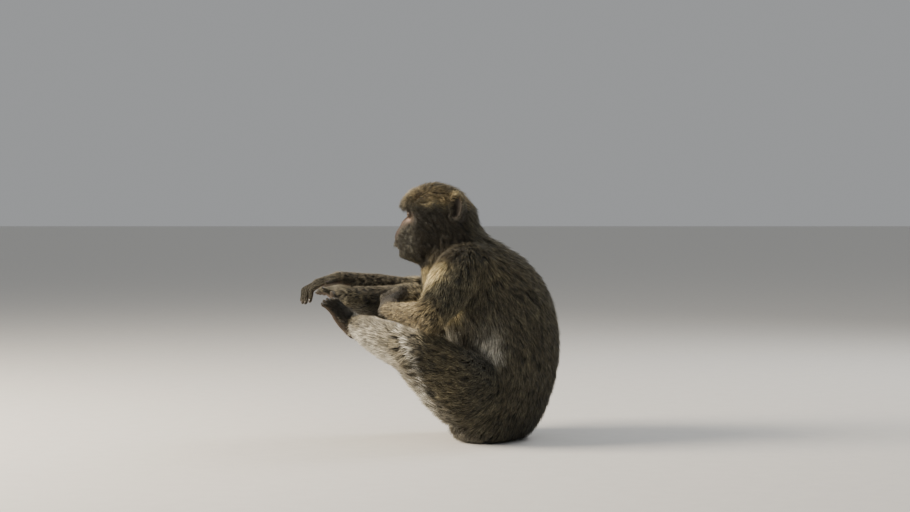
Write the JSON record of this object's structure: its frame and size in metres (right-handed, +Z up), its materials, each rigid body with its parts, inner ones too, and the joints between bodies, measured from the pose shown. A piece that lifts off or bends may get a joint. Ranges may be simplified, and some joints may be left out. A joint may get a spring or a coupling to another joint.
{
  "type": "seated barbary macaque",
  "caption": "Life-size tailless monkey sitting with a hunched back, knees splayed, feet forward, one arm resting across its legs and the other reaching ahead.",
  "frame": {"origin": "on the floor, under the centre of the animal's box", "axes": "+Z up, -Y the way the animal faces, +X its left side"},
  "size_m": [0.4146, 0.4658, 0.4499],
  "materials": {
    "coat": "dense olive-brown fur with paler banded hair tips",
    "skin": "soft creased bare skin with sparse short hair",
    "eye": "wet amber-brown iris under a clear cornea"
  },
  "bodies": {
    "root": {"head": "coat", "neck": "coat", "trunk": "coat", "upper_arm_L": "coat", "upper_arm_R": "coat", "forearm_L": "coat", "forearm_R": "coat", "thigh_L": "coat", "thigh_R": "coat", "shank_L": "coat", "shank_R": "coat", "hand_L": "skin", "hand_R": "skin", "foot_L": "skin", "foot_R": "skin", "ear_L": "skin", "ear_R": "skin", "seat_pad_L": "skin", "seat_pad_R": "skin", "eye_L": "eye", "eye_R": "eye"}
  },
  "joints": []
}
